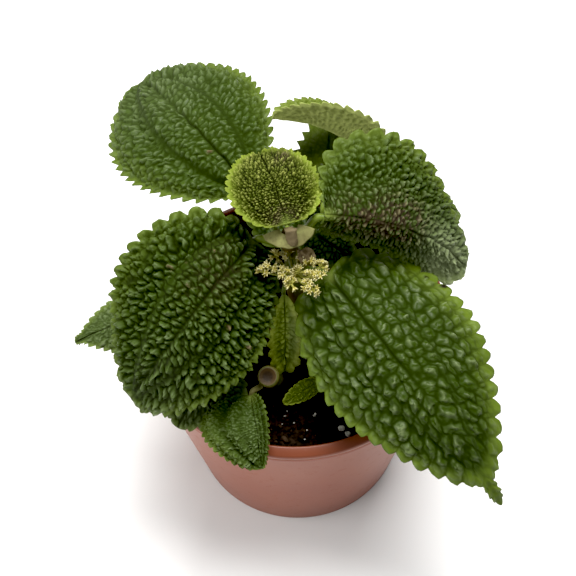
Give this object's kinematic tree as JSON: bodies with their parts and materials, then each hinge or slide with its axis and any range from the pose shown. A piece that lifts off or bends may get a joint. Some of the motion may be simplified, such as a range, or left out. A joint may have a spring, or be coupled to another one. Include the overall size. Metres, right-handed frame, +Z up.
{
  "type": "potted plant",
  "caption": "Bushy foliage plant with broad, quilted, toothed leaves and a small flower cluster, growing in soil in a round tapered nursery pot.",
  "frame": {"origin": "on the pot's axis, in the plane of its flat underside", "axes": "+Z up along the pot's axis, -Y towards the plant's front, +X to its right as seen from the front"},
  "size_m": [0.1353, 0.1603, 0.1529],
  "materials": {
    "pot": "smooth terracotta-coloured moulded plastic",
    "soil": "dark damp potting mix of peat and bark",
    "stem": "green fleshy stem, brownish at the nodes",
    "leaf": "deep green quilted leaf with a soft sheen",
    "young_leaf": "yellow-green young leaf",
    "dry": "dried tan-brown stipule",
    "flower": "tiny cream-yellow star florets"
  },
  "bodies": {
    "root": {"pot": "pot", "soil": "soil", "main_stem": "stem", "cut_stem": "stem", "back_stem": "stem", "side_stem": "stem", "leaf_front_right": "leaf", "leaf_left": "leaf", "leaf_back_left": "leaf", "leaf_back_right": "leaf", "leaf_crown": "young_leaf", "leaf_lower_front": "leaf", "leaf_under_left": "leaf", "leaf_far_left": "leaf", "leaf_hanging": "young_leaf", "leaf_soil": "leaf", "leaf_inner": "leaf", "leaf_high_back": "leaf", "leaf_behind": "leaf", "leaf_rear_right": "leaf", "leaf_rear_low": "leaf", "dried_stipule": "dry", "stipule_sheath": "young_leaf", "flower_cluster": "flower"}
  },
  "joints": []
}
